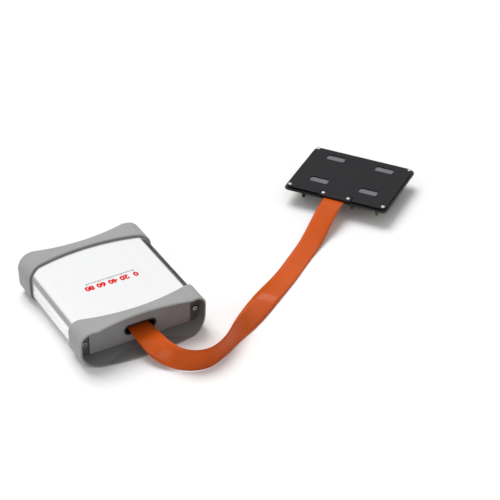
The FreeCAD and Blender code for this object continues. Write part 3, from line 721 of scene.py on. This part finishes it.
class LOGGER_OT_camera(bpy.types.Operator):
    """Camera at the photograph's viewing angle, aimed at the middle of the object"""

    bl_idname = "logger.camera"
    bl_label = "Camera"

    def execute(self, context):
        low, high = (Vector(corner) for corner in CAD_BOX)
        aim = (low + high) / 2 - Vector((0.0, 0.0, AIM_BELOW_MIDDLE))
        camera = bpy.data.cameras.new("camera")
        camera.lens = sizes().lens
        camera.clip_start, camera.clip_end = 0.05, 20.0
        context.scene.camera = aimed("camera", camera, CAMERA_PLACE, aim)
        return {"FINISHED"}


def table_finish(middle_behind=0.06, fade=(0.11, 0.18), far_dim=0.6, lane_run=(0.64, 0.77),
                 lane_widening=0.4, lane_edge=(0.045, 0.08), lane_start=(0.014, 0.030),
                 left_dim=0.66, right_dim=0.93, sides=(-0.01, 0.01)):
    """Matt pale table, plain where it is seen. Glossy surfaces mirror some of it darker.

    In their image it fades with the distance from the case's middle. Two lanes are dim in it too:
    they run off rearwards from the case's long sides and get wider the further they go. A lane's
    run is its course to the side and to the rear, and each other pair is where a change starts
    and ends, in metres.
    """
    finish = Finish("table_top", Specular_IOR_Level=0.05)
    grain = finish.span(finish.noise(scale=3.0), low=0.99, high=1.0)
    shell_low, shell_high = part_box("shell_top")
    middle = Vector((0, shell_low.y + middle_behind, 0))
    place = finish.place()
    far = finish.span(finish.vector_math("DISTANCE", place, middle), 0.0, far_dim, *fade)
    spot = finish.add("ShaderNodeSeparateXYZ", Vector=place).outputs
    beside = finish.math("SUBTRACT", finish.math("ABSOLUTE", spot["X"]), shell_high.x)
    off_lane = finish.math("MULTIPLY_ADD", spot["Y"], -lane_run[0], lane_run[0] * middle.y)
    off_lane = finish.math("ABSOLUTE", finish.math("MULTIPLY_ADD", beside, lane_run[1], off_lane))
    off_lane = finish.math("MULTIPLY_ADD", beside, -lane_widening, off_lane)
    lane = finish.math("MULTIPLY", finish.span(off_lane, 1.0, 0.0, *lane_edge),
                       finish.span(beside, 0.0, 1.0, *lane_start))
    lane = finish.math("MULTIPLY", lane, finish.span(spot["X"], left_dim, right_dim, *sides))
    mirrored = finish.add("ShaderNodeLightPath").outputs["Is Glossy Ray"]
    dim = finish.math("MULTIPLY", finish.math("MAXIMUM", far, lane), mirrored)
    level = finish.math("MULTIPLY", grain, finish.math("SUBTRACT", 1.0, dim))
    finish.colour(finish.blend(level, (0, 0, 0), tuple(colours().floor)))
    finish.rough(low=0.7, high=0.8, by=finish.noise(scale=20.0))
    return finish


def light_surround(tree, ambient=0.54, horizon_level=0.34, horizon_reach=(0.02, 0.34),
                   card_level=0.02, card_reach=(0.875, 0.955), strip_level=2.6,
                   strip_reach=(0.86, 0.90), strip_width=(0.002, 0.006)):
    """White where it is seen, plain light for matt surfaces, and a studio for glossy ones.

    The studio is white above and dim at the horizon, with a dark card behind on the right and an
    upright bright strip beside the card. Each pair says where a change starts and ends: as a
    height for the horizon, as cosines for the reaches, as squared sines for the strip's width.
    """
    card_place = Vector((0.69, 0.72, 0.10)).normalized()
    strip_place = Vector((0.75, 0.45, 0.48)).normalized()
    strip_side = strip_place.cross(Vector((0, 0, 1))).normalized()
    work = NodeWork(tree)
    direction = work.add("ShaderNodeTexCoord").outputs["Generated"]
    height = work.add("ShaderNodeSeparateXYZ", Vector=direction).outputs["Z"]
    horizon = work.span(height, horizon_level, 1.0, *horizon_reach, kind="SMOOTHSTEP")
    near_card = work.vector_math("DOT_PRODUCT", direction, card_place)
    card = work.span(near_card, 1.0, card_level, *card_reach, kind="SMOOTHSTEP")
    along = work.vector_math("DOT_PRODUCT", direction, strip_place)
    across = work.vector_math("DOT_PRODUCT", direction, strip_side)
    square = work.math("MULTIPLY", across, across)
    strip = work.math("MULTIPLY",
                      work.span(square, strip_level, 0.0, *strip_width, kind="SMOOTHSTEP"),
                      work.span(along, 0.0, 1.0, *strip_reach, kind="SMOOTHSTEP"))
    studio = work.math("ADD", work.math("MULTIPLY", horizon, card), strip)
    rays = work.add("ShaderNodeLightPath").outputs
    unseen = work.span(rays["Is Glossy Ray"], ambient, studio, 0.0, 1.0, kind="SMOOTHSTEP")
    seen = work.math("MAXIMUM", rays["Is Camera Ray"], rays["Is Transmission Ray"])
    shade = tree.nodes["Background"]
    work.feed(shade.inputs["Color"], (1, 1, 1, 1))
    work.feed(shade.inputs["Strength"], work.span(seen, unseen, 1.0, 0.0, 1.0, kind="SMOOTHSTEP"))


class LOGGER_OT_stage(bpy.types.Operator):
    """Pale table top, soft lamps and a surround that looks plain white"""

    bl_idname = "logger.stage"
    bl_label = "Stage"

    def execute(self, context):
        work = bmesh.new()
        bmesh.ops.create_grid(work, x_segments=8, y_segments=8, size=4.0)
        floor = bpy.data.objects.new("table_top", mesh_from(work, "table_top"))
        context.scene.collection.objects.link(floor)
        dress(table_finish(), floor)
        sky = bpy.data.lights.new("soft_sky", "SUN")
        sky.angle = math.radians(38)
        sky.energy = 2.2
        sun = aimed("soft_sky", sky, SKY_PLACE, LAMP_AIM)
        sun.visible_glossy = False
        fill = bpy.data.lights.new("left_fill", "AREA")
        fill.shape = "DISK"
        fill.size = 0.9
        fill.energy = 3.0
        aimed("left_fill", fill, FILL_PLACE, LAMP_AIM)
        world = bpy.data.worlds.new("surround")
        context.scene.world = world
        world.use_nodes = True
        light_surround(world.node_tree)
        context.scene.view_settings.view_transform = "Standard"
        return {"FINISHED"}


OPERATORS = (LOGGER_OT_camera, LOGGER_OT_lead, LOGGER_OT_bumpers, LOGGER_OT_case, LOGGER_OT_scale,
             LOGGER_OT_electronics, LOGGER_OT_controls, LOGGER_OT_fixture, LOGGER_OT_stage)


class LOGGER_PT_sidebar(bpy.types.Panel):
    """Lists the logger's sizes, colours and pieces"""

    bl_idname = "LOGGER_PT_sidebar"
    bl_label = "Temperature logger"
    bl_space_type = "VIEW_3D"
    bl_region_type = "UI"
    bl_category = "Logger"

    def draw(self, context):
        for group in (context.scene.logger_sizes, context.scene.logger_colours):
            for field in group.__annotations__:
                self.layout.prop(group, field)
        for operator in OPERATORS:
            self.layout.operator(operator.bl_idname)


CLASSES = (LoggerSizes, LoggerColours, *OPERATORS, LOGGER_PT_sidebar)


def register():
    for item in CLASSES:
        bpy.utils.register_class(item)
    bpy.types.Scene.logger_sizes = PointerProperty(type=LoggerSizes)
    bpy.types.Scene.logger_colours = PointerProperty(type=LoggerColours)


def unregister():
    del bpy.types.Scene.logger_colours
    del bpy.types.Scene.logger_sizes
    for item in reversed(CLASSES):
        bpy.utils.unregister_class(item)


def main():
    register()
    for operator in OPERATORS:
        group, name = operator.bl_idname.split(".")
        getattr(getattr(bpy.ops, group), name)()


if __name__ == "__main__":
    main()
